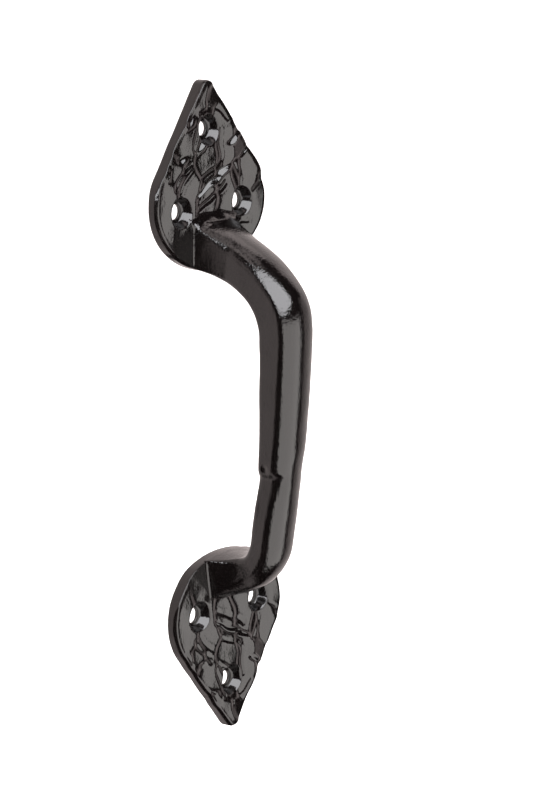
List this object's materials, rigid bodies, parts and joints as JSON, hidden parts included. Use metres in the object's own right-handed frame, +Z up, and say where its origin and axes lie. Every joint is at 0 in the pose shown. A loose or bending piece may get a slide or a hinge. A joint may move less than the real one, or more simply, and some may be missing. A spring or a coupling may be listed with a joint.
{
  "type": "pull handle",
  "caption": "Bow pull handle for a door or gate: a D-section grip bar between two pointed leaf-shaped plates with countersunk screw holes, hammered and black.",
  "frame": {"origin": "on the upper plate's back face, at the middle of its three fixing holes", "axes": "+Z up along the handle's length, +X to the right seen from the front, +Y into the door, so the grip stands out towards -Y"},
  "size_m": [0.0444, 0.0332, 0.178],
  "materials": {
    "black_enamel": "gloss black enamel over hammered iron",
    "plated_steel": "zinc-plated, satin"
  },
  "bodies": {
    "root": {"upper_plate": "black_enamel", "lower_plate": "black_enamel", "grip_bar": "black_enamel", "upper_foot_screw": "plated_steel", "lower_foot_screw": "plated_steel"}
  },
  "joints": []
}
